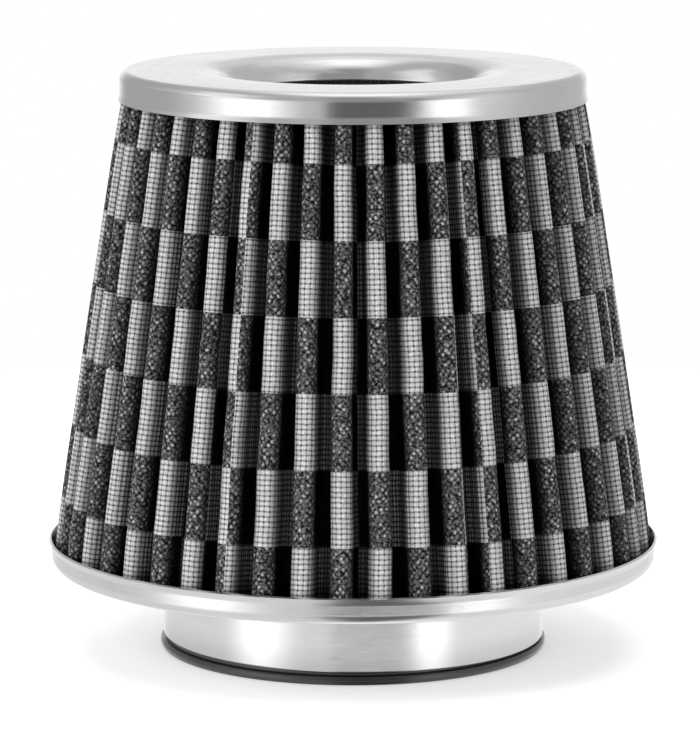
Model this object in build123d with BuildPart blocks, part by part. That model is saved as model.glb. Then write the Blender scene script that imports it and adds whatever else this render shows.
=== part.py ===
from build123d import *
import os
from math import cos, pi, radians, sin

# Cone air filter, in millimetres: a pleated cone between a spun top cap and a base pan.
# The axis is +Z, and the origin is the centre of the rubber flange that it stands on.
# Round edges are turned in a few flats, which keeps the facets of so many rings few.

# Heights, from the ground up
flange_thickness = 2.1
shoulder_thickness = 1.3
neck_length = 17.2
pan_height = 6.4
exposed_height = 108.4
cap_height = 7.2

# Diameters
cap_diameter = 113.6
mouth_diameter = 69.2
pan_diameter = 150.0
bore_diameter = 76.0

# Spun aluminium sheet of the cap and the pan
sheet = 0.6
edge_flats = 3
cap_edge_radius = 2.5
mouth_roll = 5.6
hem_flare = 0.4
hem_height = 1.5
pan_edge_radius = 2.5
lip_flare = 0.65
lip_height = 1.6

# Turned aluminium neck, held by a flange that covers a share of the pan's floor inside the sealant
neck_wall = 1.2
neck_flange_share = 0.42
neck_clearance = 0.05

# Rubber adapters, one inside the other: a shoulder inside the neck's edge and a flange beyond it
inner_adapter_wall = 4.0
outer_adapter_wall = 3.8
outer_adapter_length = 15.0
inner_adapter_length = 14.0
shoulder_inset = 0.7
flange_overhang = 0.7
flange_chamfer = 0.5

# One folded sheet: the crests stand inside the skirt and the pan, and the folds open towards the base
pleat_count = 48
first_crest_angle = -92.25
media_thickness = 0.9
top_crest_clearance = 0.6
base_crest_clearance = 0.15
top_pleat_depth = 10.0
base_pleat_depth = 9.1
flank_angle = 88.0
crest_share = 0.53
crest_flats = 6
valley_flats = 2

# Sealant that the pleat ends stand in
top_potting_depth = 3.0
base_potting_depth = 3.0
potting_overlap = 1.5
potting_relief = 0.15

# Wire grid cone that holds the pleats apart
screen_wall = 0.8
screen_gap = 0.1
screen_columns = 24
screen_rows = 4
screen_strand = 3.0

# Inverted cone that filters the air of the open mouth, bent in flats like the screen
rim_height = 3.4
rim_clearance = 0.05
cone_length = 74.0
cone_end_diameter = 36.0
cone_sides = 16
cone_media_thickness = 2.0
cone_screen_wall = 0.8
cone_screen_rows = 4
cone_screen_strand = 2.4
cup_height = 4.0
cup_clearance = 0.1

# Levels
neck_bottom = flange_thickness + shoulder_thickness
pan_bottom = neck_bottom + neck_length
pan_floor = pan_bottom + sheet
pan_top = pan_bottom + pan_height
skirt_bottom = pan_top + exposed_height
cap_top = skirt_bottom + cap_height
media_top = cap_top - sheet - top_potting_depth
media_bottom = pan_floor + base_potting_depth
rim_top = cap_top - mouth_roll
rim_bottom = rim_top - rim_height
cone_bottom = rim_bottom - cone_length

# Radii
cap_radius = cap_diameter / 2
cap_inside = cap_radius - sheet
mouth_radius = mouth_diameter / 2
throat_radius = mouth_radius - mouth_roll
pan_radius = pan_diameter / 2
pan_band = pan_radius - lip_flare
pan_inside = pan_band - sheet
bore_radius = bore_diameter / 2
adapter_seat = bore_radius + inner_adapter_wall
neck_bore = adapter_seat + outer_adapter_wall
neck_radius = neck_bore + neck_wall
shoulder_radius = neck_radius - shoulder_inset
flange_radius = neck_radius + flange_overhang
top_crest = cap_inside - top_crest_clearance
base_crest = pan_inside - base_crest_clearance
top_screen = top_crest - media_thickness - top_pleat_depth - screen_gap
base_screen = base_crest - media_thickness - base_pleat_depth - screen_gap
top_potting_hole = top_screen - screen_wall - potting_overlap
base_potting_hole = base_screen - screen_wall - potting_overlap
neck_flange = neck_radius + neck_flange_share * (base_potting_hole - neck_radius)
cone_top = throat_radius - rim_clearance
cone_end = cone_end_diameter / 2


def turned(radius, angle):
    """The point at this radius and angle, in radians, from the centre."""
    return Vector(radius * cos(angle), radius * sin(angle))


def bend(centre, radius, start):
    """A quarter turn to the left about a centre, from a start angle in degrees, in equal flats."""
    turns = [radians(start + 90 * step / edge_flats) for step in range(edge_flats + 1)]
    return [Vector(*centre) + turned(radius, turn) for turn in turns]


def fold_points(crest, depth, side):
    """One face of the folded sheet at one height, as points round each crest and each valley.

    The folds are round about the middle of the sheet, and side is how far outside it this face is.
    The flanks stand at one angle to their crest at every height, so each flat of the sheet is plane.
    """
    middle = crest - media_thickness / 2
    half = pi / pleat_count
    flank = radians(flank_angle)
    room = (middle - depth) * cos(flank - half) - middle * cos(flank)
    folds = room / (1 - (1 - crest_share) * cos(flank - half) - crest_share * cos(flank))
    crest_fold = folds * crest_share
    valley_fold = folds - crest_fold
    points = []
    for pleat in range(pleat_count):
        facing = radians(first_crest_angle) + 2 * half * pleat
        peak = turned(middle - crest_fold, facing)
        dip = turned(middle - depth + valley_fold, facing + half)
        for step in range(crest_flats + 1):
            turn = flank * (2 * step / crest_flats - 1)
            points.append(peak + turned(crest_fold + side, facing + turn))
        for step in range(valley_flats + 1):
            turn = (flank - half) * (1 - 2 * step / valley_flats)
            points.append(dip - turned(valley_fold - side, facing + half + turn))
    return points


def flat_shell(low, high, low_outlines, high_outlines):
    """A solid of plane walls from an outline with a hole at one height to the like at another."""
    lower = [[point + Vector(0, 0, low) for point in outline] for outline in low_outlines]
    upper = [[point + Vector(0, 0, high) for point in outline] for outline in high_outlines]
    faces = []
    for outline, hole in (lower, upper):
        faces.append(Face(Wire.make_polygon(outline), [Wire.make_polygon(hole)]))
    for below, above in zip(lower, upper):
        for i in range(len(below)):
            faces.append(Face(Wire.make_polygon([below[i - 1], below[i], above[i], above[i - 1]])))
    return Solid(Shell(faces))


def polygon(radius, sides):
    """The corners of a regular outline."""
    return [turned(radius, 2 * pi * corner / sides) for corner in range(sides)]


def flat_cone(low, high, low_radius, high_radius, sides, wall):
    """A cone of sheet bent in flats between two heights, its corners at the two radii."""
    low_outlines = [polygon(low_radius, sides), polygon(low_radius - wall, sides)]
    high_outlines = [polygon(high_radius, sides), polygon(high_radius - wall, sides)]
    return flat_shell(low, high, low_outlines, high_outlines)


def cut_windows(low, high, low_radius, high_radius, columns, rows, strand):
    """Cut a column of rows of windows in each flat of a cone, and leave a strand round each."""
    pitch = (high - low) / rows
    for row in range(rows):
        level = low + (row + 0.5) * pitch
        radius = low_radius + (high_radius - low_radius) * (row + 0.5) / rows
        flat = 2 * radius * sin(pi / columns)
        with BuildSketch(Plane.YZ, mode=Mode.PRIVATE) as window:
            with Locations((0, level)):
                Rectangle(flat - strand, pitch - strand)
        cutter = extrude(window.sketch, amount=2 * radius, mode=Mode.PRIVATE)
        with PolarLocations(0, columns, start_angle=180 / columns):
            add(cutter, mode=Mode.SUBTRACT)


# Top cap: one spun sheet from the flared hem, over the edge and down into the mouth
with BuildPart() as top_cap:
    with BuildSketch(Plane.XZ):
        with BuildLine():
            Polyline(
                (cap_radius + hem_flare, skirt_bottom),
                (cap_radius, skirt_bottom + hem_height),
                *bend((cap_radius - cap_edge_radius, cap_top - cap_edge_radius), cap_edge_radius, 0),
                *bend((mouth_radius, cap_top - mouth_roll), mouth_roll, 90),
                (throat_radius, rim_bottom),
            )
            offset(amount=sheet, side=Side.LEFT, kind=Kind.INTERSECTION)
        make_face()
    revolve(axis=Axis.Z)
top_cap.part.label = "top_cap"

# Sealant in the cap: it covers the ends of the pleats and of the screen, and clears the sheet's bent edge
with BuildPart() as top_potting:
    with BuildSketch(Plane.XY.offset(media_top)):
        RegularPolygon(cap_inside, pleat_count, rotation=first_crest_angle)
        Circle(top_potting_hole, mode=Mode.SUBTRACT)
    extrude(amount=top_potting_depth)
    rim = top_potting.faces().sort_by(Axis.Z)[-1].outer_wire().edges()
    chamfer(rim, cap_edge_radius - sheet + potting_relief)
top_potting.part.label = "top_potting"

# Pleated media: one sheet folded all round, from its outline in the pan to its outline in the cap
faces_of_sheet = (media_thickness / 2, -media_thickness / 2)
base_folds = [fold_points(base_crest, base_pleat_depth, side) for side in faces_of_sheet]
top_folds = [fold_points(top_crest, top_pleat_depth, side) for side in faces_of_sheet]
with BuildPart() as pleated_media:
    add(flat_shell(media_bottom, media_top, base_folds, top_folds))
pleated_media.part.label = "pleated_media"

# Support screen: a wire grid cone just inside the valleys
with BuildPart() as support_screen:
    add(flat_cone(media_bottom, media_top, base_screen, top_screen, screen_columns, screen_wall))
    cut_windows(media_bottom, media_top, base_screen, top_screen, screen_columns, screen_rows, screen_strand)
support_screen.part.label = "support_screen"

# Sealant in the pan
with BuildPart() as base_potting:
    with BuildSketch(Plane.XY.offset(pan_floor)):
        RegularPolygon(pan_inside, pleat_count, rotation=first_crest_angle)
        Circle(base_potting_hole, mode=Mode.SUBTRACT)
    extrude(amount=base_potting_depth)
    rim = base_potting.faces().sort_by(Axis.Z)[0].outer_wire().edges()
    chamfer(rim, pan_edge_radius - sheet + potting_relief)
base_potting.part.label = "base_potting"

# Base pan: one spun sheet from the hole for the neck to the flared lip
with BuildPart() as base_pan:
    with BuildSketch(Plane.XZ):
        with BuildLine():
            Polyline(
                (neck_radius + neck_clearance, pan_bottom),
                *bend((pan_band - pan_edge_radius, pan_bottom + pan_edge_radius), pan_edge_radius, -90),
                (pan_band, pan_top - lip_height),
                (pan_radius, pan_top),
            )
            offset(amount=sheet, side=Side.LEFT, kind=Kind.INTERSECTION)
        make_face()
    revolve(axis=Axis.Z)
base_pan.part.label = "base_pan"

# Neck: a tube through the pan, with a flange that rests on the pan's floor
with BuildPart() as neck_collar:
    with BuildSketch(Plane.XZ):
        with BuildLine():
            Polyline(
                (neck_bore, neck_bottom),
                (neck_radius, neck_bottom),
                (neck_radius, pan_floor),
                (neck_flange, pan_floor),
                (neck_flange, pan_floor + neck_wall),
                (neck_bore, pan_floor + neck_wall),
                close=True,
            )
        make_face()
    revolve(axis=Axis.Z)
neck_collar.part.label = "neck_collar"

# Outer adapter: a rubber sleeve in the neck, its shoulder against the neck's rim
with BuildPart() as outer_adapter:
    with BuildSketch(Plane.XZ):
        with BuildLine():
            Polyline(
                (adapter_seat, flange_thickness),
                (shoulder_radius, flange_thickness),
                (shoulder_radius, neck_bottom),
                (neck_bore, neck_bottom),
                (neck_bore, neck_bottom + outer_adapter_length),
                (adapter_seat, neck_bottom + outer_adapter_length),
                close=True,
            )
        make_face()
    revolve(axis=Axis.Z)
outer_adapter.part.label = "outer_adapter"

# Inner adapter: a second sleeve in the first, with the flange that the filter stands on
with BuildPart() as inner_adapter:
    with BuildSketch(Plane.XZ) as section:
        with BuildLine():
            Polyline(
                (bore_radius, 0),
                (flange_radius, 0),
                (flange_radius, flange_thickness),
                (adapter_seat, flange_thickness),
                (adapter_seat, flange_thickness + inner_adapter_length),
                (bore_radius, flange_thickness + inner_adapter_length),
                close=True,
            )
        make_face()
        chamfer(section.vertices().group_by(Axis.X)[-1].sort_by(Axis.Y)[0], flange_chamfer)
    revolve(axis=Axis.Z)
inner_adapter.part.label = "inner_adapter"

# Inner cone: a sheet bent in flats, its rim bonded inside the throat
with BuildPart() as inner_cone_media:
    add(flat_cone(cone_bottom, rim_bottom, cone_end, cone_top, cone_sides, cone_media_thickness))
    add(flat_cone(rim_bottom, rim_top, cone_top, cone_top, cone_sides, cone_media_thickness))
inner_cone_media.part.label = "inner_cone_media"

# Inner cone screen: carries that sheet from outside, from the edge of the throat down to the cup
cone_screen_end = cone_end + cone_screen_wall
cone_screen_top = cone_top + cone_screen_wall
with BuildPart() as inner_cone_screen:
    add(flat_cone(cone_bottom, rim_bottom, cone_screen_end, cone_screen_top, cone_sides, cone_screen_wall))
    cut_windows(
        cone_bottom + cup_height,
        rim_bottom,
        cone_screen_end,
        cone_screen_top,
        cone_sides,
        cone_screen_rows,
        cone_screen_strand,
    )
inner_cone_screen.part.label = "inner_cone_screen"

# Cup that closes the small end of the inner cone and takes the ends of its sheet and screen
cup_end = cone_screen_end + cup_clearance + sheet
cup_top = cup_end + cup_height * (cone_top - cone_end) / cone_length
with BuildPart() as inner_cone_cup:
    add(flat_cone(cone_bottom, cone_bottom + cup_height, cup_end, cup_top, cone_sides, sheet))
    with BuildSketch(Plane.XY.offset(cone_bottom)):
        RegularPolygon(cup_end, cone_sides)
    extrude(amount=-sheet)
inner_cone_cup.part.label = "inner_cone_cup"

os.makedirs("parts", exist_ok=True)
export_step(top_cap.part, "parts/top_cap.step")
export_step(top_potting.part, "parts/top_potting.step")
export_step(pleated_media.part, "parts/pleated_media.step")
export_step(support_screen.part, "parts/support_screen.step")
export_step(base_potting.part, "parts/base_potting.step")
export_step(base_pan.part, "parts/base_pan.step")
export_step(neck_collar.part, "parts/neck_collar.step")
export_step(outer_adapter.part, "parts/outer_adapter.step")
export_step(inner_adapter.part, "parts/inner_adapter.step")
export_step(inner_cone_media.part, "parts/inner_cone_media.step")
export_step(inner_cone_screen.part, "parts/inner_cone_screen.step")
export_step(inner_cone_cup.part, "parts/inner_cone_cup.step")
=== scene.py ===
from math import cos, pi, radians, sin

import bmesh
import bpy
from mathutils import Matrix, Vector


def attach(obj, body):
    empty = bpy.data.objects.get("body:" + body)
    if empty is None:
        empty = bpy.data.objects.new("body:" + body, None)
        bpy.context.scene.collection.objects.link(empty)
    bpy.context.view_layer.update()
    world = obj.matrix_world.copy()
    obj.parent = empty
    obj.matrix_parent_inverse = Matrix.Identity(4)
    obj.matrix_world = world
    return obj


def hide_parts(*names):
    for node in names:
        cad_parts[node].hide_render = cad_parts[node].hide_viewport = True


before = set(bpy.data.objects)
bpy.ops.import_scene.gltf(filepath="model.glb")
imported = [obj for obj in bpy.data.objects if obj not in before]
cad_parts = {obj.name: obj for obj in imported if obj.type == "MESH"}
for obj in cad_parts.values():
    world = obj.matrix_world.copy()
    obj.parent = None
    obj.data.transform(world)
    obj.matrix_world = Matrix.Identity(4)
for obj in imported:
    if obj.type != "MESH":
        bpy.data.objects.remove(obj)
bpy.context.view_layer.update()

# The filter is in millimetres and degrees until a mesh is made, and the stage is in metres
MM = 0.001

# Camera: place in metres, pitch in radians, view in pixels, sensor in millimetres
CAMERA_PLACE = (0.0, -1.0985, 0.255)
CAMERA_PITCH = -0.1672
FOCAL_PIXELS = 4531.1
IMAGE_HEIGHT = 729
AXIS_OFFSET_PIXELS = 3.0
SENSOR = 36.0

# Spun cap: the hem's curve gives shares of its flare and of its height
CAP_RADIUS = 56.8
CAP_TOP = 142.6
CAP_EDGE = 2.2
CAP_WOBBLE = 0.012
SKIRT_BOTTOM = 135.4
HEM_FLARE = 0.4
HEM_HEIGHT = 1.5
HEM_CURVE = ((1.0, 0.0), (0.6, 0.35), (0.15, 0.75), (0.0, 1.1))
THROAT_RADIUS = 29.0
THROAT_BOTTOM = 133.6
BEND_START = 39.4
BEND_RADIUS = 35.0
BEND_TURN = 8.0
SHEET = 0.6

# Handling marks in the metal: how many to the millimetre, and how deep
DENT_SCALE = 0.085
DENT_DEPTH = 0.22

# Base pan: the lip's curve gives shares of its flare and of its height below the top
PAN_RADIUS = 75.0
PAN_BAND = 74.35
PAN_BOTTOM = 20.6
PAN_TOP = 27.0
PAN_EDGE = 2.5
PAN_HOLE = 47.05
LIP_HEIGHT = 1.6
LIP_CURVE = ((0.0, 1.0), (0.3, 0.55), (1.0, 0.0))

# Neck, with a rim that sinks a little to one side between two heights
NECK_RADIUS = 47.0
NECK_BORE = 45.8
NECK_BOTTOM = 3.4
NECK_FLANGE = 52.9
NECK_WALL = 1.2
NECK_ROUND = 0.35
NECK_WOBBLE = 0.01
NECK_SKEW = 0.8
NECK_RIM = (NECK_BOTTOM - 0.3, NECK_BOTTOM + 1.0)
# Height under which the neck's metal is darkened with painted shade, for the shadowed floor seen in it
PAINTED_SHADE_HEIGHT = 11.0

# Rubber adapters: a sleeve with a shoulder, and a foot with a flange
SHOULDER_RADIUS = 46.3
SLEEVE_ROUND = 0.2
OUTER_ADAPTER_TOP = 18.4
FLANGE_RADIUS = 47.7
FLANGE_TOP = 2.1
FLANGE_INSET_LOW = 0.3
FLANGE_INSET_HIGH = 0.2
FOOT_ROUND = 0.4
SEAT_RADIUS = 42.0
BORE_RADIUS = 38.0
INNER_ADAPTER_TOP = 16.1

# Turned meshes: steps round a turn and along each curve, and the angle from which an edge stays sharp
TURN_STEPS = 256
FOOT_STEPS = 192
EDGE_STEPS = 10
BEND_STEPS = 4
ROLL_STEPS = 14
SHARP_ANGLE = 40.0

# Waves of a piece that isn't quite round: the number in a turn, the start in radians and the share of each
WOBBLES = ((3, 0.7, 1.0), (7, 2.1, 0.6), (13, 4.0, 0.4))

# Folded sheet
PLEATS = 48
PLEAT_COLUMNS = 20
PLEAT_ROWS = 26
FIRST_CREST = -92.25
MEDIA_BOTTOM = 24.2
MEDIA_TOP = 139.0
BASE_CREST = 73.6
TOP_CREST = 55.6
BASE_DEPTH = 9.1
TOP_DEPTH = 10.0
MEDIA_THICKNESS = 0.9
FLANK_ANGLE = 88.0
CREST_SHARE = 0.53
PLEAT_BELLY = 0.55
PLEAT_SWAY = 0.8
SWAY_SCALE = 0.16
WELD = 0.02

# Checks of the cloth, along the sheet in pleats and up it in millimetres
PLEAT_CLOTH = 23.1
CHECK_START = 0.475
CHECKS_A_PLEAT = 1.158
CHECK_ROW = 17.6
FIRST_ROW = 38.3
CHECK_DRIFT = 0.9
GRID_WIDE = 1.07
GRID_TALL = 1.19
GRID_PLAY = 0.45
YARN_WIDE = 1.4
YARN_TALL = 1.75
YARN_PLAY = 0.5


class Field:
    """A value in a node tree. Sums and products of fields and numbers add the nodes for them."""

    def __init__(self, tree, socket):
        self.tree = tree
        self.socket = socket

    def __add__(self, other):
        return self.tree.maths("ADD", self, other)

    __radd__ = __add__

    def __sub__(self, other):
        return self.tree.maths("SUBTRACT", self, other)

    def __rsub__(self, other):
        return self.tree.maths("SUBTRACT", other, self)

    def __mul__(self, other):
        return self.tree.maths("MULTIPLY", self, other)

    __rmul__ = __mul__

    def __truediv__(self, other):
        return self.tree.maths("DIVIDE", self, other)

    def __rtruediv__(self, other):
        return self.tree.maths("DIVIDE", other, self)

    def __pow__(self, other):
        return self.tree.maths("POWER", self, other)

    def __lt__(self, other):
        return self.tree.maths("LESS_THAN", self, other)

    def __gt__(self, other):
        return self.tree.maths("GREATER_THAN", self, other)

    def __abs__(self):
        return self.tree.maths("ABSOLUTE", self)

    def floor(self):
        return self.tree.maths("FLOOR", self)

    def part(self):
        """What is left of the value above its whole number."""
        return self.tree.maths("FRACT", self)

    def sine(self):
        return self.tree.maths("SINE", self)

    def cosine(self):
        return self.tree.maths("COSINE", self)

    def root(self):
        return self.tree.maths("SQRT", self)

    def least(self, other):
        return self.tree.maths("MINIMUM", self, other)

    def most(self, other):
        return self.tree.maths("MAXIMUM", self, other)

    def held(self):
        """The value kept between 0 and 1."""
        return self.most(0).least(1)

    def ramp(self, low, high):
        """0 below low and 1 above high, with a smooth rise between them."""
        settings = {"interpolation_type": "SMOOTHSTEP"}
        sockets = {"Value": self, "From Min": low, "From Max": high}
        return self.tree.field("ShaderNodeMapRange", settings, sockets, "Result")


class Tree:
    """A node tree that fields and nodes are added to."""

    def __init__(self, tree):
        self.tree = tree

    def node(self, kind, settings=None, sockets=None):
        """Any node: its type, its settings, and the values or links of its sockets."""
        node = self.tree.nodes.new(kind)
        for name, value in (settings or {}).items():
            setattr(node, name, value)
        for name, value in (sockets or {}).items():
            if isinstance(value, Field):
                self.tree.links.new(value.socket, node.inputs[name])
            else:
                node.inputs[name].default_value = value
        return node

    def field(self, kind, settings=None, sockets=None, output=0):
        return Field(self, self.node(kind, settings, sockets).outputs[output])

    def maths(self, operation, *values):
        return self.field("ShaderNodeMath", {"operation": operation}, dict(enumerate(values)))

    def vector(self, x=0, y=0, z=0):
        return self.field("ShaderNodeCombineXYZ", None, {"X": x, "Y": y, "Z": z})

    def split(self, vector):
        node = self.node("ShaderNodeSeparateXYZ", None, {"Vector": vector})
        return [Field(self, output) for output in node.outputs]

    def noise(self, vector, scale, detail=2.0, roughness=0.5):
        sockets = {"Vector": vector, "Scale": scale, "Detail": detail, "Roughness": roughness}
        return self.field("ShaderNodeTexNoise", None, sockets)

    def chance(self, vector):
        """A value between 0 and 1 that jumps from each whole place to the next."""
        settings = {"noise_dimensions": "2D"}
        return self.field("ShaderNodeTexWhiteNoise", settings, {"Vector": vector}, "Value")


class Finish(Tree):
    """A material's node tree, with the shader at its end."""

    def __init__(self, name):
        self.material = bpy.data.materials.new(name)
        self.material.use_nodes = True
        super().__init__(self.material.node_tree)
        self.tree.nodes.clear()

    def place(self):
        """Object coordinates in millimetres."""
        place = self.field("ShaderNodeTexCoord", None, None, "Object")
        return [axis / MM for axis in self.split(place)]

    def wrap(self, name):
        """The two values of a piece's own map."""
        return self.split(self.field("ShaderNodeUVMap", {"uv_map": name}))[:2]

    def mix(self, factor, first, second):
        """A colour between two, each a field or a plain colour, by a factor that is a field."""
        settings = {"data_type": "RGBA", "clamp_factor": True}
        node = self.node("ShaderNodeMix", settings)
        plugs = {plug.identifier: plug for plug in node.inputs}
        for identifier, value in (("Factor_Float", factor), ("A_Color", first), ("B_Color", second)):
            if isinstance(value, Field):
                self.tree.links.new(value.socket, plugs[identifier])
            else:
                plugs[identifier].default_value = (*value, 1)
        colour = [plug for plug in node.outputs if plug.identifier == "Result_Color"]
        return Field(self, colour[0])

    def bump(self, height, distance, strength):
        """A normal for a height between 0 and 1, which stands for this many millimetres."""
        sockets = {"Height": height, "Distance": distance * MM, "Strength": strength}
        return self.field("ShaderNodeBump", None, sockets)

    def close(self, sockets):
        """End the tree in the surface shader and give back the material."""
        surface = self.field("ShaderNodeBsdfPrincipled", None, sockets)
        self.node("ShaderNodeOutputMaterial", None, {"Surface": surface})
        return self.material


def grey(level):
    return (level, level, level)


def darker(colour, share):
    return tuple(share * channel for channel in colour)


def spun_metal(name, colour, roughness, tarnish, mapped=True, shaded_below=0.0, dented=1.0):
    """Aluminium turned on a lathe: fine rings of tool marks, faint clouding and small handling marks.

    Below a given height it darkens towards the bottom: painted shade, standing in for the shadowed floor
    seen in the metal."""
    finish = Finish(name)
    x, y, z = finish.place()
    radius = (x * x + y * y).root().most(1)
    along = finish.wrap("turning")[1] if mapped else radius - z
    fine_rings = finish.vector(x / radius * 2, y / radius * 2, along * 2.6)
    coarse_rings = finish.vector(x / radius, y / radius, along * 0.55)
    fine = finish.noise(fine_rings, scale=1.0, detail=3.0, roughness=0.6)
    coarse = finish.noise(coarse_rings, scale=1.0)
    clouds = finish.noise(finish.vector(x, y, z), scale=0.06, detail=3.0)
    marks = finish.noise(finish.vector(x, y, z * 2.5), scale=0.22, detail=4.0, roughness=0.7)
    scuffs = marks.ramp(0.6, 0.78)
    dents = finish.noise(finish.vector(x, y, z * 1.5), scale=DENT_SCALE)
    shade = finish.mix(clouds.ramp(0.35, 0.75) * tarnish, colour, darker(colour, 0.82))
    shade = finish.mix(scuffs * 0.3, shade, darker(colour, 0.7))
    shade = finish.mix(fine.ramp(0.35, 0.75) * tarnish * 0.7, shade, darker(colour, 0.8))
    # Painted shade: darker towards the bottom, below the given height
    if shaded_below:
        shade = finish.mix(1 - z.ramp(0.1 * shaded_below, shaded_below), shade, darker(colour, 0.7))
    rough = roughness + (fine - 0.5) * 0.12 + (coarse - 0.5) * 0.08 + scuffs * 0.12
    relief = fine * 0.006 + coarse * 0.006 + dents * (DENT_DEPTH * dented)
    normal = finish.bump(relief, distance=1.0, strength=0.4)
    return finish.close({"Base Color": shade, "Metallic": 1.0, "Roughness": rough, "Normal": normal})


def moulded_rubber(name):
    """Black rubber with a fine moulded grain, a little dust and the sheen of a smooth mould."""
    finish = Finish(name)
    place = finish.vector(*finish.place())
    grain = finish.noise(place, scale=1.6, detail=4.0, roughness=0.65)
    dust = finish.noise(place, scale=0.12, detail=3.0).ramp(0.45, 0.8)
    shade = finish.mix(dust * 0.6, grey(0.012), grey(0.034))
    rough = 0.38 + grain * 0.16 + dust * 0.1
    normal = finish.bump(grain, distance=0.06, strength=0.5)
    surface = {"Base Color": shade, "Roughness": rough, "Normal": normal}
    return finish.close({**surface, "Coat Weight": 0.8, "Coat Roughness": 0.15, "Coat IOR": 1.6})


def cast_sealant(name):
    """Black sealant poured round the pleat ends: matt, with slow waves and pinholes."""
    finish = Finish(name)
    place = finish.vector(*finish.place())
    waves = finish.noise(place, scale=0.25)
    pinholes = finish.noise(place, scale=1.4, detail=1.0).ramp(0.7, 0.78)
    shade = finish.mix(pinholes, grey(0.022), grey(0.008))
    normal = finish.bump(waves - pinholes * 0.4, distance=0.4, strength=0.6)
    return finish.close({"Base Color": shade, "Roughness": 0.5 + waves * 0.2, "Normal": normal})


def galvanised_wire(name):
    """Zinc-coated wire: grey, with dull patches."""
    finish = Finish(name)
    place = finish.vector(*finish.place())
    patches = finish.noise(place, scale=0.5, detail=3.0, roughness=0.6)
    shade = finish.mix(patches, grey(0.5), (0.3, 0.31, 0.32))
    rough = 0.3 + patches * 0.3
    normal = finish.bump(patches, distance=0.05, strength=0.4)
    return finish.close({"Base Color": shade, "Metallic": 0.9, "Roughness": rough, "Normal": normal})


def black_gauze(name, columns, pitch):
    """Black woven gauze: threads up the cone, crossed by threads round it."""
    finish = Finish(name)
    x, y, z = finish.place()
    turn = finish.maths("ARCTAN2", y, x) * (columns / (2 * pi))
    row = z / pitch
    weft = 1 - abs((row.part() - 0.5) * 2)
    warp = 1 - abs((turn.part() - 0.5) * 2)
    over = ((turn.floor() + row.floor()) / 2).part() * 2
    threads = warp * over + weft * (1 - over)
    fuzz = finish.noise(finish.vector(x, y, z), scale=2.0, detail=3.0)
    shade = finish.mix(threads.ramp(0.2, 0.9), grey(0.004), grey(0.035))
    normal = finish.bump(threads * 0.8 + fuzz * 0.2, distance=0.35, strength=0.8)
    return finish.close({"Base Color": shade, "Roughness": 0.7 + fuzz * 0.2, "Normal": normal})


def checked_mesh(name):
    """Mesh cloth in light and dark checks: the light ones a square grid, the dark ones flecked."""
    finish = Finish(name)
    pleat, height = finish.wrap("sheet")
    along = pleat * PLEAT_CLOTH
    drift = finish.noise(finish.vector(pleat * 0.31, height * 0.01), scale=1.0) - 0.5
    level = height + drift * CHECK_DRIFT
    column = ((pleat - CHECK_START) * CHECKS_A_PLEAT).floor()
    row = ((level - FIRST_ROW) / CHECK_ROW).floor()
    dark = ((column + row) / 2).part() < 0.25
    loose = finish.noise(finish.vector(along, level), scale=0.7) - 0.5
    slack = finish.noise(finish.vector(level, along, 7), scale=0.7) - 0.5

    # Light checks: paired strands woven square, each crossing a little lighter or darker than the next
    cell_x = (along + loose * GRID_PLAY) / GRID_WIDE
    cell_y = (level + slack * GRID_PLAY) / GRID_TALL
    away_x = abs(cell_x.part() - 0.5)
    away_y = abs(cell_y.part() - 0.5)
    line_x = away_x.ramp(0.15, 0.5)
    line_y = away_y.ramp(0.12, 0.5)
    gap = (line_x * 0.56).most(line_y * 0.66).most(line_x * line_y * 1.8).held()
    seam = 1 - away_x.ramp(0.0, 0.15)
    vary = finish.chance(finish.vector((cell_x * 2).floor(), cell_y.floor()))
    light = finish.mix(gap, grey(0.87), grey(0.03))
    light = finish.mix(seam * 0.4, light, grey(0.26))
    light = finish.mix(vary * 0.4, light, grey(0.3))

    # Dark checks: light specks of a looser yarn, where its slanting strands cross, on a dull ground
    strand_x = (along + loose * YARN_PLAY) / YARN_WIDE
    strand_y = (level + slack * YARN_PLAY) / YARN_TALL
    lattice = finish.vector(strand_x + strand_y, strand_x - strand_y)
    settings = {"voronoi_dimensions": "2D", "feature": "F1"}
    sockets = {"Vector": lattice, "Scale": 1.0, "Randomness": 0.55}
    yarn = finish.node("ShaderNodeTexVoronoi", settings, sockets)
    bright = finish.split(Field(finish, yarn.outputs["Color"]))[0]
    speck = 1 - Field(finish, yarn.outputs["Distance"]).ramp(0.08, 0.46)
    ground = finish.noise(finish.vector(along, level, 3), scale=2.1).ramp(0.4, 0.7)
    deep = finish.mix(ground, grey(0.004), grey(0.15))
    deep = finish.mix(speck * (0.14 + bright * bright * 0.86), deep, grey(0.57))

    # Painted shade: both darken from the crest's middle to its sides and down into the fold, where only
    # strands of the light checks still show
    fold = abs((pleat + 0.5).part() - 0.5) * 2
    crest_edge_shade = fold.ramp(0.03, 0.25)
    fold_shade = fold.ramp(0.18, 0.42)
    lane_tone = finish.chance(finish.vector(cell_x.floor(), row))
    strand = (1 - away_x.ramp(0.12, 0.4)) * (1 - away_y.ramp(0.15, 0.48))
    strand = strand * (0.15 + lane_tone * lane_tone * 0.85) * (0.6 + vary * 0.4)
    shaded = finish.mix(strand, grey(0.004), grey(0.58))
    # Painted shade on the crest's sides and in the fold, towards the dim strands, some lanes lighter than
    # others
    light = finish.mix(crest_edge_shade * 0.62, light, shaded)
    light = finish.mix(fold_shade * 0.7, light, shaded)
    deep = finish.mix((crest_edge_shade * 0.55 + fold_shade * 0.45).held(), deep, grey(0.0015))

    shade = finish.mix(dark, light, deep)
    threads = (1 - gap) * (1 - dark) + speck * dark
    normal = finish.bump(threads, distance=0.16, strength=0.7)
    surface = {"Base Color": shade, "Roughness": 0.66 + vary * 0.14, "Normal": normal}
    return finish.close({**surface, "Specular IOR Level": 0.15})


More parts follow.
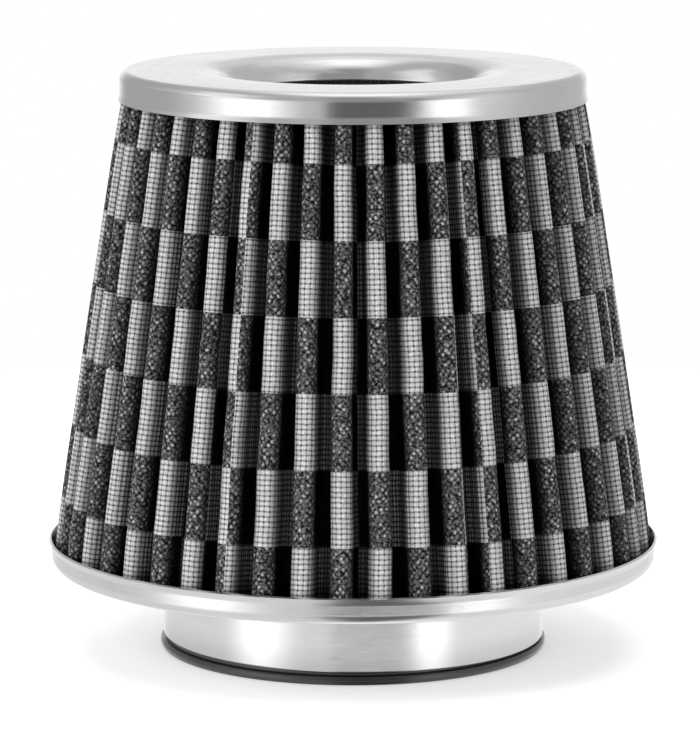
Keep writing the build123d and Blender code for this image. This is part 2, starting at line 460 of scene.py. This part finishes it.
def arc(centre, radius, first, last, steps):
    """Points of an arc in the plane of a turned section, angles in degrees."""
    turns = [radians(first + (last - first) * step / steps) for step in range(steps + 1)]
    return [(centre[0] + radius * cos(turn), centre[1] + radius * sin(turn)) for turn in turns]


def thickened(path, wall):
    """A closed section: a path, and the same path set to its left by the wall."""
    points = [Vector(point) for point in path]
    inner = []
    for i, point in enumerate(points):
        before = points[max(i - 1, 0)]
        after = points[min(i + 1, len(points) - 1)]
        forward = (after - before).normalized()
        inner.append(point + wall * Vector((-forward.y, forward.x)))
    return [tuple(point) for point in points + inner[::-1]]


def rounded(corners, radius, steps=4):
    """A closed section with each corner cut by a smooth curve that starts and ends this far from it."""
    points = []
    for i, corner in enumerate(corners):
        here = Vector(corner)
        before = (Vector(corners[i - 1]) - here).normalized()
        after = (Vector(corners[(i + 1) % len(corners)]) - here).normalized()
        for step in range(steps + 1):
            share = step / steps
            reach = here + before * radius * (1 - share) ** 2 + after * radius * share**2
            points.append(tuple(reach))
    return points


def braced(section, near=0.12, longest=1.0):
    """The section with a point near both ends of each long straight, so that straights shade flat."""
    points = []
    for i, point in enumerate(section):
        here = Vector(point)
        there = Vector(section[(i + 1) % len(section)])
        points.append(point)
        if (there - here).length > longest:
            ahead = near * (there - here).normalized()
            points += [tuple(here + ahead), tuple(there - ahead)]
    return points


def turned_piece(name, section, segments, material, wobble=0.0, skew=0.0, rim=(0.0, 0.0)):
    """A closed section turned round the axis, with a map of turn and section length.

    Points between the two heights of the rim sink by up to the skew on the +X side."""
    section = braced(section)
    shell = bmesh.new()
    turning = shell.loops.layers.uv.new("turning")
    lengths = [0.0]
    for i in range(len(section)):
        step = Vector(section[(i + 1) % len(section)]) - Vector(section[i])
        lengths.append(lengths[-1] + step.length)
    rings = []
    for segment in range(segments):
        turn = 2 * pi * segment / segments
        sway = sum(share * sin(waves * turn + start) for waves, start, share in WOBBLES)
        ring = []
        for radius, height in section:
            reach = (radius + wobble * sway) * MM
            sunk = skew * 0.5 * (1 + cos(turn)) if rim[0] <= height <= rim[1] else 0.0
            ring.append(shell.verts.new((reach * cos(turn), reach * sin(turn), (height - sunk) * MM)))
        rings.append(ring)
    for segment in range(segments):
        here, there = rings[segment], rings[(segment + 1) % segments]
        for i in range(len(section)):
            j = (i + 1) % len(section)
            face = shell.faces.new((here[i], there[i], there[j], here[j]))
            face.smooth = True
            corners = ((segment, i), (segment + 1, i), (segment + 1, i + 1), (segment, i + 1))
            for loop, (around, along) in zip(face.loops, corners):
                loop[turning].uv = (around / segments, lengths[along])
    bmesh.ops.recalc_face_normals(shell, faces=shell.faces)
    mesh = bpy.data.meshes.new(name)
    shell.to_mesh(mesh)
    shell.free()
    mesh.set_sharp_from_angle(angle=radians(SHARP_ANGLE))
    mesh.materials.append(material)
    piece = bpy.data.objects.new(name, mesh)
    bpy.context.scene.collection.objects.link(piece)
    return piece


def folding_tree():
    """Geometry nodes that fold a flat grid into the pleated cone, with the sheet's own map."""
    group = bpy.data.node_groups.new("pleat folding", "GeometryNodeTree")
    group.interface.new_socket("Geometry", in_out="OUTPUT", socket_type="NodeSocketGeometry")
    names = (
        "Pleats",
        "Columns",
        "Rows",
        "First Crest",
        "Low",
        "High",
        "Low Crest",
        "High Crest",
        "Low Depth",
        "High Depth",
        "Flank",
        "Crest Share",
        "Bulge",
        "Sway",
    )
    for name in names:
        group.interface.new_socket(name, in_out="INPUT", socket_type="NodeSocketFloat")
    group.interface.new_socket("Cloth", in_out="INPUT", socket_type="NodeSocketMaterial")
    tree = Tree(group)
    entry = tree.node("NodeGroupInput")
    given = {name: Field(tree, entry.outputs[name]) for name in (*names, "Cloth")}

    sizes = {
        "Size X": 1.0,
        "Size Y": 1.0,
        "Vertices X": given["Pleats"] * given["Columns"] + 1,
        "Vertices Y": given["Rows"] + 1,
    }
    sheet = tree.field("GeometryNodeMeshGrid", None, sizes, "Mesh")
    flat = tree.split(tree.field("GeometryNodeInputPosition"))
    run = ((flat[0] + 0.5) * given["Pleats"] * given["Columns"] + 0.5).floor() / given["Columns"]
    rise = (flat[1] + 0.5).held()

    # Which pleat a point is in, its side of the crest, and how far away: 0 on the crest, 1 in the valley
    pleat = run.floor().least(given["Pleats"] - 1)
    offset = (run - pleat) * 2 - 1
    side = (offset > 0) * 2 - 1
    away = abs(offset)
    crest_end = 0.5
    valley_start = 0.7
    on_crest = (away / crest_end).held()
    on_flank = ((away - crest_end) / (valley_start - crest_end)).held()
    on_valley = ((away - valley_start) / (1 - valley_start)).held()

    # Radii of the two folds at this height
    half = pi / given["Pleats"]
    flank = given["Flank"]
    belly = 1 - (rise * 2 - 1) ** 6
    crest = given["Low Crest"] + (given["High Crest"] - given["Low Crest"]) * rise + given["Bulge"] * belly
    depth = given["Low Depth"] + (given["High Depth"] - given["Low Depth"]) * rise
    lean = (flank - half).cosine()
    room = (crest - depth) * lean - crest * flank.cosine()
    folds = room / (1 - (1 - given["Crest Share"]) * lean - given["Crest Share"] * flank.cosine())
    crest_fold = folds * given["Crest Share"]
    valley_fold = folds - crest_fold

    # Across one half pleat: round the crest, down the flank and round the valley
    turn = flank * on_crest
    peak = crest - crest_fold
    dip = crest - depth + valley_fold
    dip_out = dip * half.cosine()
    dip_side = dip * half.sine()
    leave_out = peak + crest_fold * flank.cosine()
    leave_side = crest_fold * flank.sine()
    meet_out = dip_out - valley_fold * flank.cosine()
    meet_side = dip_side - valley_fold * flank.sine()
    last = half + (flank - half) * (1 - on_valley)
    out = peak + crest_fold * turn.cosine() + (meet_out - leave_out) * on_flank
    out = out + dip_out - valley_fold * last.cosine() - meet_out
    across = crest_fold * turn.sine() + (meet_side - leave_side) * on_flank
    across = across + dip_side - valley_fold * last.sine() - meet_side

    # How far along the sheet the point is, in pleats from the first crest, and how far up it
    wall = ((meet_out - leave_out) ** 2 + (meet_side - leave_side) ** 2).root()
    half_cloth = crest_fold * flank + wall + valley_fold * (flank - half)
    walked = crest_fold * turn + wall * on_flank + valley_fold * (flank - half) * on_valley
    count = pleat - given["Pleats"] / 2 + side * walked / half_cloth / 2
    height = given["Low"] + (given["High"] - given["Low"]) * rise
    taper = (given["Low Crest"] - given["High Crest"]) / (given["High"] - given["Low"])
    level = (height + (crest - out) * taper) / MM
    settings = {"data_type": "FLOAT2", "domain": "CORNER"}
    sockets = {"Geometry": sheet, "Name": "sheet", "Value": tree.vector(count, level)}
    mapped = tree.field("GeometryNodeStoreNamedAttribute", settings, sockets, "Geometry")

    # The folds stand a little uneven between their two ends
    facing = given["First Crest"] + 2 * half * (pleat - given["Pleats"] / 2)
    probe = tree.vector(facing.cosine() * crest, facing.sine() * crest, height * 0.6)
    sway = (tree.noise(probe, scale=SWAY_SCALE / MM, detail=1.0) - 0.5) * given["Sway"] * belly
    spread = across * side + sway
    folded = tree.vector(
        out * facing.cosine() - spread * facing.sine(),
        out * facing.sine() + spread * facing.cosine(),
        height,
    )
    shaped = tree.field("GeometryNodeSetPosition", None, {"Geometry": mapped, "Position": folded})
    joined = tree.field("GeometryNodeMergeByDistance", None, {"Geometry": shaped, "Distance": WELD * MM})
    smooth = tree.field("GeometryNodeSetShadeSmooth", None, {"Geometry": joined, "Shade Smooth": True})
    whole = tree.field("GeometryNodeRealizeInstances", None, {"Geometry": smooth})
    clad = tree.field("GeometryNodeSetMaterial", None, {"Geometry": whole, "Material": given["Cloth"]})
    tree.node("NodeGroupOutput", None, {"Geometry": clad})
    return group


def made_by_nodes(name, group, values, wall):
    """A plain mesh piece from a tree of geometry nodes, thickened to a wall."""
    maker = bpy.data.objects.new(name, bpy.data.meshes.new(name))
    bpy.context.scene.collection.objects.link(maker)
    nodes = maker.modifiers.new("nodes", "NODES")
    nodes.node_group = group
    for item in group.interface.items_tree:
        if item.in_out == "INPUT":
            nodes[item.identifier] = values[item.name]
    shell = maker.modifiers.new("wall", "SOLIDIFY")
    shell.thickness = wall
    shell.offset = 0.0
    graph = bpy.context.evaluated_depsgraph_get()
    mesh = bpy.data.meshes.new_from_object(
        maker.evaluated_get(graph), preserve_all_data_layers=True, depsgraph=graph
    )
    maker.modifiers.clear()
    maker.data = mesh
    return maker


# Finishes
cap_metal = spun_metal("spun cap metal", (0.84, 0.84, 0.85), roughness=0.17, tarnish=0.35)
pan_metal = spun_metal("spun pan metal", (0.83, 0.83, 0.84), roughness=0.23, tarnish=0.3)
# The neck's metal is darker towards its bottom: painted shade
neck_metal = spun_metal(
    "turned neck metal", (0.88, 0.88, 0.89), roughness=0.17, tarnish=0.15, shaded_below=PAINTED_SHADE_HEIGHT, dented=0.3
)
cup_metal = spun_metal("pressed cup metal", (0.7, 0.7, 0.71), roughness=0.3, tarnish=0.5, mapped=False)
rubber = moulded_rubber("moulded black rubber")
sealant = cast_sealant("cast black sealant")
wire = galvanised_wire("galvanised wire")
gauze = black_gauze("black cone gauze", columns=150, pitch=1.1)
cloth = checked_mesh("checked mesh cloth")

# Cap: hem, skirt, round edge, flat ring, and a slow bend that tightens to the roll down into the mouth
bend_in = sin(radians(BEND_TURN))
mouth_roll = (BEND_START - BEND_RADIUS * bend_in - THROAT_RADIUS) / (1 - bend_in)
roll_centre = CAP_TOP - BEND_RADIUS + (BEND_RADIUS - mouth_roll) * cos(radians(BEND_TURN))
cap_path = [
    *((CAP_RADIUS + flare * HEM_FLARE, SKIRT_BOTTOM + rise * HEM_HEIGHT) for flare, rise in HEM_CURVE),
    *arc((CAP_RADIUS - CAP_EDGE, CAP_TOP - CAP_EDGE), CAP_EDGE, 0, 90, EDGE_STEPS),
    (0.5 * (CAP_RADIUS + BEND_START), CAP_TOP),
    *arc((BEND_START, CAP_TOP - BEND_RADIUS), BEND_RADIUS, 90, 90 + BEND_TURN, BEND_STEPS),
    *arc((THROAT_RADIUS + mouth_roll, roll_centre), mouth_roll, 90 + BEND_TURN, 180, ROLL_STEPS)[1:],
    (THROAT_RADIUS, THROAT_BOTTOM),
]
cap = turned_piece("spun_cap", thickened(cap_path, SHEET), TURN_STEPS, cap_metal, wobble=CAP_WOBBLE)
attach(cap, "root")
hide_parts("top_cap")

# Pan: floor, round edge, band and flared lip
lip_flare = PAN_RADIUS - PAN_BAND
pan_path = [
    (PAN_HOLE, PAN_BOTTOM),
    (0.5 * (PAN_HOLE + PAN_BAND), PAN_BOTTOM),
    *arc((PAN_BAND - PAN_EDGE, PAN_BOTTOM + PAN_EDGE), PAN_EDGE, -90, 0, EDGE_STEPS),
    *((PAN_BAND + flare * lip_flare, PAN_TOP - drop * LIP_HEIGHT) for flare, drop in LIP_CURVE),
]
pan = turned_piece("spun_pan", thickened(pan_path, SHEET), TURN_STEPS, pan_metal)
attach(pan, "root")
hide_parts("base_pan")

# Neck: a tube with a flange on the pan's floor
pan_floor = PAN_BOTTOM + SHEET
neck_corners = [
    (NECK_BORE, NECK_BOTTOM),
    (NECK_RADIUS, NECK_BOTTOM),
    (NECK_RADIUS, pan_floor),
    (NECK_FLANGE, pan_floor),
    (NECK_FLANGE, pan_floor + NECK_WALL),
    (NECK_BORE, pan_floor + NECK_WALL),
]
neck = turned_piece(
    "turned_neck",
    rounded(neck_corners, NECK_ROUND),
    TURN_STEPS,
    neck_metal,
    wobble=NECK_WOBBLE,
    skew=NECK_SKEW,
    rim=NECK_RIM,
)
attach(neck, "root")
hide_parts("neck_collar")

# Rubber adapters: the sleeve's shoulder follows the neck's rim
sleeve_corners = [
    (SEAT_RADIUS, FLANGE_TOP),
    (SHOULDER_RADIUS, FLANGE_TOP),
    (SHOULDER_RADIUS, NECK_BOTTOM),
    (NECK_BORE, NECK_BOTTOM),
    (NECK_BORE, OUTER_ADAPTER_TOP),
    (SEAT_RADIUS, OUTER_ADAPTER_TOP),
]
sleeve = turned_piece(
    "rubber_sleeve", rounded(sleeve_corners, SLEEVE_ROUND), TURN_STEPS, rubber, skew=NECK_SKEW, rim=NECK_RIM
)
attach(sleeve, "root")
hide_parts("outer_adapter")
foot_corners = [
    (BORE_RADIUS, 0.0),
    (FLANGE_RADIUS - FLANGE_INSET_LOW, 0.0),
    (FLANGE_RADIUS, 0.5 * FLANGE_TOP),
    (FLANGE_RADIUS - FLANGE_INSET_HIGH, FLANGE_TOP),
    (SEAT_RADIUS, FLANGE_TOP),
    (SEAT_RADIUS, INNER_ADAPTER_TOP),
    (BORE_RADIUS, INNER_ADAPTER_TOP),
]
foot = turned_piece("rubber_foot", rounded(foot_corners, FOOT_ROUND), FOOT_STEPS, rubber)
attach(foot, "root")
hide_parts("inner_adapter")

# Pleated cloth
cloth_sizes = {
    "Pleats": float(PLEATS),
    "Columns": float(PLEAT_COLUMNS),
    "Rows": float(PLEAT_ROWS),
    "First Crest": radians(FIRST_CREST),
    "Low": MEDIA_BOTTOM * MM,
    "High": MEDIA_TOP * MM,
    "Low Crest": (BASE_CREST - MEDIA_THICKNESS / 2) * MM,
    "High Crest": (TOP_CREST - MEDIA_THICKNESS / 2) * MM,
    "Low Depth": BASE_DEPTH * MM,
    "High Depth": TOP_DEPTH * MM,
    "Flank": radians(FLANK_ANGLE),
    "Crest Share": CREST_SHARE,
    "Bulge": PLEAT_BELLY * MM,
    "Sway": PLEAT_SWAY * MM,
    "Cloth": cloth,
}
pleats = made_by_nodes("pleated_cloth", folding_tree(), cloth_sizes, MEDIA_THICKNESS * MM)
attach(pleats, "root")
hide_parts("pleated_media")

# Solids that keep their shape and take a finish
kept = {
    "top_potting": sealant,
    "base_potting": sealant,
    "support_screen": wire,
    "inner_cone_screen": wire,
    "inner_cone_media": gauze,
    "inner_cone_cup": cup_metal,
}
for node, material in kept.items():
    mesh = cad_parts[node].data
    mesh.materials.clear()
    mesh.materials.append(material)

# Stage: pale floor, studio wall and lamps, in metres
STAGE_STEPS = 96
FLOOR_RADIUS = 0.42
FLOOR_DROP = 0.0001
FLOOR_GLOW = 0.45
WALL_RADIUS = 1.5
WALL_LOW = -2.4
WALL_HIGH = 1.6
CEILING_EDGE = 0.5
CEILING_RISE = 0.1
POLE_RADIUS = 0.01
SIDE_LEVEL = 0.42
BACK_LEVEL = 1.03
LIGHT_LEVEL = 1.5
ZENITH_LEVEL = 1.25
SKY_LEVEL = 0.23
LAMP_TARGET = (0, 0, 0.075)


def blend(first, second, factor):
    return first + (second - first) * factor


def lit_material(name, build):
    """A stage material whose surface comes from a function of its tree."""
    finish = Finish(name)
    finish.node("ShaderNodeOutputMaterial", None, {"Surface": build(finish)})
    return finish.material


def seen_directly(tree):
    """1 for a ray from the camera, off a mirror or through glass, and 0 for light on a dull surface."""
    path = tree.node("ShaderNodeLightPath")
    seen = Field(tree, path.outputs["Is Camera Ray"])
    for kind in ("Is Glossy Ray", "Is Transmission Ray"):
        seen = seen.most(Field(tree, path.outputs[kind]))
    return seen


def floor_surface(finish):
    """Pale floor that keeps shadows, and is white where the camera sees it lit."""
    diffuse = finish.field("ShaderNodeBsdfDiffuse", None, {"Color": (0.85, 0.85, 0.85, 1)})
    glow = finish.field("ShaderNodeEmission", None, {"Color": seen_directly(finish) * FLOOR_GLOW})
    return finish.field("ShaderNodeAddShader", None, {0: diffuse, 1: glow})


def wall_surface(finish):
    """Studio wall, seen only in reflections: a dark front with a tall light on either side of it,
    grey sides, a pale back and a ceiling that is brightest overhead."""
    x, y, z = finish.split(finish.field("ShaderNodeTexCoord", None, None, "Object"))
    turn = finish.maths("ARCTAN2", x, 0 - y) * (180 / pi)

    def panel(start, full, fade, end):
        """1 from full to fade and 0 outside start and end, in degrees round from the front."""
        return turn.ramp(start, full) * (1 - turn.ramp(fade, end))

    # Shares by height: the table below, its lit edge, and the upper part of the room
    table = 1 - z.ramp(-0.33, -0.12)
    table_edge = z.ramp(-0.6, -0.4) * (1 - z.ramp(-0.36, -0.27))
    above = z.ramp(0.3, 0.6)

    # Levels of the parts
    front = 0.12 + table_edge * 0.9 + z.ramp(0.0, 0.5) * 0.2
    near = 0.56 + table * 0.22 - above * 0.1
    back = blend(BACK_LEVEL, 0.68, z.ramp(0.3, 0.43)) + z.ramp(0.7, WALL_HIGH) * 0.3
    side = SIDE_LEVEL + turn.ramp(-120, 120) * 0.11 + table * 0.35
    lights = blend(0.8, LIGHT_LEVEL, z.ramp(-0.9, -0.35))
    left_light = lights - z.ramp(0.1, 0.4) * 0.35 - z.ramp(0.45, 0.7) * 0.2
    right_light = lights - z.ramp(0.1, 0.7) * 0.85
    glow = panel(-104, -80, -80, -56) + panel(42, 66, 58, 104)
    haze = panel(-128, -104, -100, -80)

    # Where the two lights stand: further out near the table, and more so above, than between
    left_start = -85 - above * 10
    left_full = -55 - above * 27
    left_fade = -50 - table * 10 - above * 22
    left_end = -20 - table * 10 - above * 16
    right_start = 22 + table * 6 + above * 14
    right_full = 46 + table * 3 + above * 8
    right_fade = 48 + above * 8
    right_end = 66 + above * 4

    # Each part is laid over the last
    level = blend(side, back, abs(turn).ramp(146 + above * 8, 172 + above * 6))
    level = level + glow * (1 - table) * 0.2 + haze * above * 0.11
    level = blend(level, near, panel(-48, -42, -15, -9))
    level = blend(level, front, panel(-15, -9, 34, 40))
    level = blend(level, left_light, panel(left_start, left_full, left_fade, left_end))
    level = blend(level, right_light, panel(right_start, right_full, right_fade, right_end))

    # Ceiling: bright overhead, dim towards the front and the flanks, with the left light's upper end
    overhead = blend(0.32, ZENITH_LEVEL, y.ramp(-1.0, 0.05)) - y.ramp(0.55, 1.1) * 0.35
    flanks = 0.5 + (x.ramp(0.0, 0.4) * 0.28 - x.ramp(0.65, 1.1) * 0.2) * y.ramp(-1.0, -0.3)
    flanks = flanks + (0 - x).ramp(1.0, 1.4) * (1 - y.ramp(0.1, 0.6)) * 0.4
    ceiling = blend(overhead, flanks, abs(x).ramp(0.12, 0.68))
    level = blend(level, ceiling, z.ramp(WALL_HIGH - 0.3, WALL_HIGH))
    return finish.field("ShaderNodeEmission", None, {"Color": level})


def stage_mesh(name, corners, faces, material):
    mesh = bpy.data.meshes.new(name)
    mesh.from_pydata(corners, [], faces)
    mesh.materials.append(material)
    piece = bpy.data.objects.new(name, mesh)
    bpy.context.scene.collection.objects.link(piece)
    return piece


def lamp(name, turn, height, distance, wide, tall, power):
    """A soft lamp, aimed at the middle of the filter, that no mirror shows."""
    light = bpy.data.lights.new(name, "AREA")
    light.shape = "RECTANGLE"
    light.size = wide
    light.size_y = tall
    light.energy = power
    holder = bpy.data.objects.new(name, light)
    angle = radians(-90 + turn)
    holder.location = (distance * cos(angle), distance * sin(angle), height)
    aim = Vector(LAMP_TARGET) - Vector(holder.location)
    holder.rotation_euler = aim.to_track_quat("-Z", "Y").to_euler()
    holder.visible_camera = False
    holder.visible_glossy = False
    bpy.context.scene.collection.objects.link(holder)


stage_turns = [2 * pi * step / STAGE_STEPS for step in range(STAGE_STEPS)]
floor = stage_mesh(
    "floor",
    [(FLOOR_RADIUS * cos(turn), FLOOR_RADIUS * sin(turn), -FLOOR_DROP) for turn in stage_turns],
    [tuple(range(STAGE_STEPS))],
    lit_material("pale floor", floor_surface),
)
floor.visible_glossy = False
wall_section = (
    (POLE_RADIUS, WALL_LOW - CEILING_RISE),
    (WALL_RADIUS, WALL_LOW),
    (WALL_RADIUS, WALL_HIGH),
    (CEILING_EDGE, WALL_HIGH + CEILING_RISE),
    (POLE_RADIUS, WALL_HIGH + 2 * CEILING_RISE),
)
ring = len(wall_section)
wall_faces = []
for step in range(STAGE_STEPS):
    here = ring * step
    there = ring * ((step + 1) % STAGE_STEPS)
    wall_faces += [(here + j, there + j, there + j + 1, here + j + 1) for j in range(ring - 1)]
wall_corners = []
for turn in stage_turns:
    wall_corners += [(reach * cos(turn), reach * sin(turn), height) for reach, height in wall_section]
wall = stage_mesh(
    "studio_wall",
    wall_corners,
    wall_faces,
    lit_material("studio wall", wall_surface),
)
wall.visible_camera = False
wall.visible_diffuse = False
wall.visible_shadow = False
lamp("left strip", turn=-48, height=0.7, distance=1.4, wide=0.5, tall=1.4, power=12.5)
lamp("right strip", turn=46, height=0.7, distance=1.4, wide=0.4, tall=1.4, power=4)
lamp("back light", turn=180, height=0.9, distance=1.4, wide=1.2, tall=0.8, power=10)
lamp("top light", turn=0, height=1.5, distance=0.2, wide=1.4, tall=1.4, power=14)

# White surroundings, which light dull surfaces only a little
world = bpy.data.worlds.new("white studio")
bpy.context.scene.world = world
world.use_nodes = True
world.node_tree.nodes.clear()
studio = Tree(world.node_tree)
sky = {"Color": (1, 1, 1, 1), "Strength": SKY_LEVEL + seen_directly(studio) * (1 - SKY_LEVEL)}
studio.node("ShaderNodeOutputWorld", None, {"Surface": studio.field("ShaderNodeBackground", None, sky)})

camera_data = bpy.data.cameras.new("camera")
camera_data.sensor_width = SENSOR
camera_data.lens = FOCAL_PIXELS * SENSOR / IMAGE_HEIGHT
camera_data.shift_x = -AXIS_OFFSET_PIXELS / IMAGE_HEIGHT
camera = bpy.data.objects.new("camera", camera_data)
camera.location = CAMERA_PLACE
camera.rotation_euler = (pi / 2 + CAMERA_PITCH, 0, 0)
bpy.context.scene.collection.objects.link(camera)
bpy.context.scene.camera = camera
bpy.context.scene.view_settings.view_transform = "Standard"
